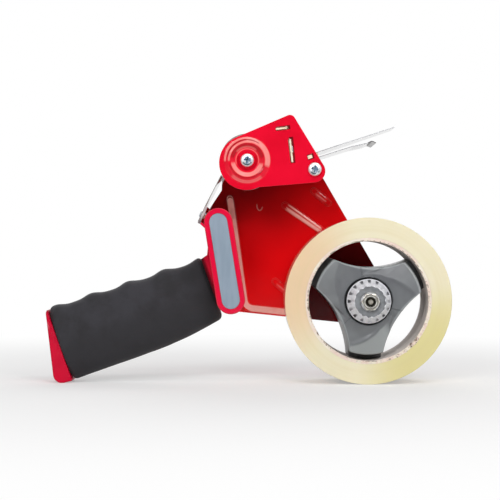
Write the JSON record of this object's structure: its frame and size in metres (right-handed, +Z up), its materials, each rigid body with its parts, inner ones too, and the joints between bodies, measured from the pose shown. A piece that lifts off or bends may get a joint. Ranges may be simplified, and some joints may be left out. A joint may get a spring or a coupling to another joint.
{
  "type": "hand-held packing tape dispenser",
  "caption": "Pistol-grip packing tape dispenser with a pressed steel frame, braked roll hub, applicator roller, toothed blade, wiping leaves and a foam-covered handle.",
  "frame": {"origin": "on the table, at the middle of the dispenser's length and depth; the applicator roller's axle is straight above it", "axes": "+X from the handle towards the tape roll, +Y away from the open side with the brake knob, +Z up"},
  "size_m": [0.2593, 0.076, 0.1709],
  "materials": {
    "red_paint": "gloss stoved enamel on pressed steel",
    "red_handle": "gloss moulded plastic",
    "foam": "closed-cell foam, matt",
    "panel": "satin blank panel",
    "zinc": "bright zinc plate",
    "spring_steel": "bright rolled spring steel",
    "blade_steel": "ground steel",
    "roller_rubber": "moulded rubber, matt",
    "dark_plastic": "moulded, matt",
    "hub_plastic": "moulded, satin",
    "bush_plastic": "turned acetal",
    "cardboard": "spiral-wound board",
    "tape": "clear film with adhesive, wound",
    "knob_plastic": "moulded, satin"
  },
  "bodies": {
    "frame": {"side_frame": "red_paint", "head_plate": "red_paint", "flange_panel": "panel", "handle_core": "red_handle", "handle_screws": "zinc", "foam_grip": "foam", "roller_axle": "zinc", "corner_spacer": "zinc", "head_screws": "zinc", "head_washers": "zinc", "head_nuts": "zinc", "spindle": "zinc", "spindle_washer": "zinc", "spindle_nut": "zinc", "brake_washer": "zinc", "brake_spring": "spring_steel", "cutting_blade": "blade_steel", "blade_holder": "zinc", "blade_rivets": "zinc", "leaf_bar": "zinc", "leaf_rivets": "zinc", "flap_rivets": "zinc"},
    "roller": {"roller_core": "dark_plastic", "roller_sleeve": "roller_rubber"},
    "hub": {"hub": "hub_plastic", "hub_bush": "bush_plastic"},
    "roll": {"tape_core": "cardboard", "tape_winding": "tape"},
    "knob_carrier": {"spring_seat": "zinc"},
    "knob": {"tension_knob": "knob_plastic", "knob_nut": "zinc"},
    "wiper": {"wiper_leaf": "spring_steel"},
    "helper": {"helper_leaf": "spring_steel"},
    "flap": {"tape_flap": "spring_steel"}
  },
  "joints": [
    {"name": "roller_spin", "type": "hinge", "parent": "frame", "child": "roller", "pos_m": [0, 0.0045, 0.1422], "axis": [0, 1, 0], "continuous": true},
    {"name": "hub_spin", "type": "hinge", "parent": "frame", "child": "hub", "pos_m": [0.077, 0.0045, 0.053], "axis": [0, 1, 0], "continuous": true},
    {"name": "roll_off", "type": "slide", "parent": "hub", "child": "roll", "axis": [0, -1, 0], "range_m": [0, 0.055]},
    {"name": "knob_feed", "type": "slide", "parent": "frame", "child": "knob_carrier", "axis": [0, 1, 0], "range_m": [-0.003, 0.0015], "deforming": ["brake_spring"]},
    {"name": "knob_turn", "type": "hinge", "parent": "knob_carrier", "child": "knob", "pos_m": [0.077, 0.0045, 0.053], "axis": [0, 1, 0], "range_deg": [-1090, 550]},
    {"name": "wiper_flex", "type": "hinge", "parent": "frame", "child": "wiper", "pos_m": [0.0447, 0.0045, 0.1467], "axis": [0, 1, 0], "range_deg": [-5, 15], "stiffness_Nm_per_rad": 1, "deforming": ["wiper_leaf"]},
    {"name": "helper_flex", "type": "hinge", "parent": "frame", "child": "helper", "pos_m": [0.0456, 0.0045, 0.1445], "axis": [0, 1, 0], "range_deg": [-5, 15], "stiffness_Nm_per_rad": 0.6, "deforming": ["helper_leaf"]},
    {"name": "flap_flex", "type": "hinge", "parent": "frame", "child": "flap", "pos_m": [-0.02636, 0.0045, 0.11325], "axis": [0, -1, 0], "range_deg": [-2.5, 20], "stiffness_Nm_per_rad": 0.08, "deforming": ["tape_flap"]}
  ],
  "couplings": [
    {"joint": "knob_turn", "follows": "knob_feed", "rad_per_m": 6283.2},
    {"joint": "helper_flex", "follows": "wiper_flex", "ratio": 1}
  ]
}
